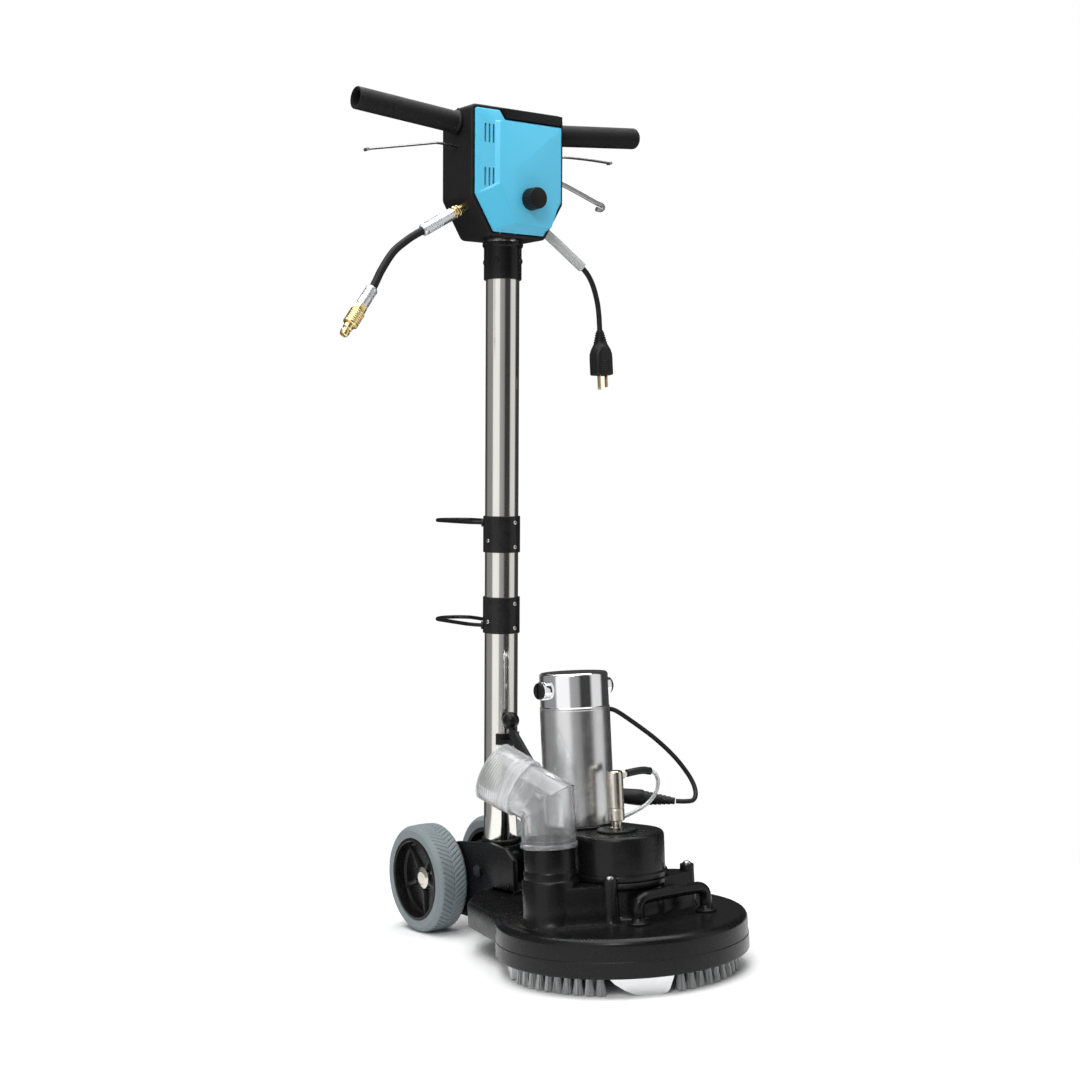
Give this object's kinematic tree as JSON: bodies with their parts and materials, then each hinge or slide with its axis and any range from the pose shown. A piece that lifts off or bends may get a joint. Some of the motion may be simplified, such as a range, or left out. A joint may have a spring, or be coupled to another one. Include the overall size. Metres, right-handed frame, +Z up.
{
  "type": "rotary carpet cleaning machine",
  "caption": "Upright rotary carpet cleaner: round brush and suction head with motor, rear wheels, tilting chrome column, blue control box, T handlebar and short leads.",
  "frame": {"origin": "on the floor under the centre of the machine's box, leads left out", "axes": "+Z up, -Y towards the brush head (front), +Y towards the operator, +X along the wheel axle and handlebar"},
  "size_m": [0.5133, 0.627, 1.1807],
  "materials": {
    "black_plastic": "moulded black, fine texture",
    "painted": "satin black paint",
    "steel": "machined steel",
    "brushed": "brushed stainless",
    "nickel": "nickel plate",
    "chrome": "polished chrome",
    "alu": "turned aluminium",
    "rubber": "matt black rubber",
    "tyre": "grey-green non-marking rubber",
    "bristle": "silver-grey nylon bristle",
    "blue": "light blue satin moulding",
    "brass": "bright brass",
    "clear": "clear frosted moulding",
    "clear_tube": "clear flexible plastic",
    "board": "green circuit board"
  },
  "bodies": {
    "chassis": {"deck_housing": "black_plastic", "spindle_bearing": "steel", "upper_housing": "black_plastic", "belt_cover": "black_plastic", "drive_belt": "rubber", "motor_shell": "brushed", "motor_end_cap": "chrome", "brush_cap_left": "black_plastic", "brush_cap_right": "black_plastic", "water_swivel": "nickel", "tube_sleeve": "rubber", "water_tube": "clear_tube", "cable_connector": "rubber", "motor_cable": "rubber", "lift_handle": "painted", "rear_yoke": "painted", "pivot_pin": "steel", "wheel_axle": "chrome"},
    "motor_rotor": {"motor_armature": "steel"},
    "brush_head": {"head_spindle": "steel", "large_pulley": "alu", "brush_plate": "black_plastic", "brush_ring": "bristle", "vacuum_shoe_1": "brushed", "vacuum_shoe_2": "brushed", "vacuum_shoe_3": "brushed", "vacuum_shoe_4": "brushed"},
    "wheel_left": {"tyre_left": "tyre", "rim_left": "black_plastic"},
    "wheel_right": {"tyre_right": "tyre", "rim_right": "black_plastic"},
    "column": {"column_tube": "chrome", "foot_socket": "painted", "clamp_knob": "black_plastic", "latch_band": "painted", "column_collar": "painted", "cord_hook_upper": "painted", "cord_hook_lower": "painted", "box_shell": "black_plastic", "box_cover": "blue", "handlebar_tube": "painted", "grip_left": "rubber", "grip_right": "rubber", "lever_bracket": "steel", "speed_dial": "board", "solution_valve": "brass", "box_hook": "steel", "inlet_fitting": "brass", "hose_ferrule": "nickel", "solution_hose": "rubber", "hose_coupler": "brass", "mains_cord": "rubber", "cord_label_sleeve": "clear_tube", "mains_plug": "rubber"},
    "lever_left_body": {"lever_left": "brushed"},
    "lever_right_body": {"lever_right": "brushed"},
    "knob_body": {"control_knob": "black_plastic"},
    "lock_body": {"lock_lever": "painted"},
    "elbow_body": {"vacuum_elbow": "clear", "vacuum_cuff": "clear"}
  },
  "joints": [
    {"name": "head_spin", "type": "hinge", "parent": "chassis", "child": "brush_head", "pos_m": [0, -0.1475, 0.06], "axis": [0, 0, 1], "continuous": true},
    {"name": "motor_spin", "type": "hinge", "parent": "chassis", "child": "motor_rotor", "pos_m": [0, -0.0655, 0.26], "axis": [0, 0, 1], "continuous": true},
    {"name": "wheel_left_spin", "type": "hinge", "parent": "chassis", "child": "wheel_left", "pos_m": [-0.0635, 0.2355, 0.078], "axis": [1, 0, 0], "continuous": true},
    {"name": "wheel_right_spin", "type": "hinge", "parent": "chassis", "child": "wheel_right", "pos_m": [0.0635, 0.2355, 0.078], "axis": [1, 0, 0], "continuous": true},
    {"name": "column_tilt", "type": "hinge", "parent": "chassis", "child": "column", "pos_m": [0, 0.1355, 0.095], "axis": [-1, 0, 0], "range_deg": [0, 60]},
    {"name": "lever_left_squeeze", "type": "hinge", "parent": "column", "child": "lever_left_body", "pos_m": [-0.06, 0.04885, 1.11834], "axis": [0, 0.9964, 0.0844], "range_deg": [0, 8], "stiffness_Nm_per_rad": 0.8, "springref_deg": -14.32},
    {"name": "lever_right_squeeze", "type": "hinge", "parent": "column", "child": "lever_right_body", "pos_m": [0.06, 0.04885, 1.11834], "axis": [0, -0.9964, -0.0844], "range_deg": [0, 7], "stiffness_Nm_per_rad": 0.8, "springref_deg": -14.32},
    {"name": "knob_turn", "type": "hinge", "parent": "column", "child": "knob_body", "pos_m": [0.0162, 0.00492, 1.04457], "axis": [0, -0.9964, -0.0844], "range_deg": [-150, 150]},
    {"name": "lock_lift", "type": "hinge", "parent": "chassis", "child": "lock_body", "pos_m": [-0.008, 0.0015, 0.215], "axis": [1, 0, 0], "range_deg": [0, 35]},
    {"name": "elbow_swivel", "type": "hinge", "parent": "chassis", "child": "elbow_body", "pos_m": [-0.101, -0.1355, 0.18], "axis": [0, 0, 1], "range_deg": [-25, 180]}
  ],
  "couplings": [
    {"joint": "motor_spin", "follows": "head_spin", "ratio": 3.3846}
  ]
}
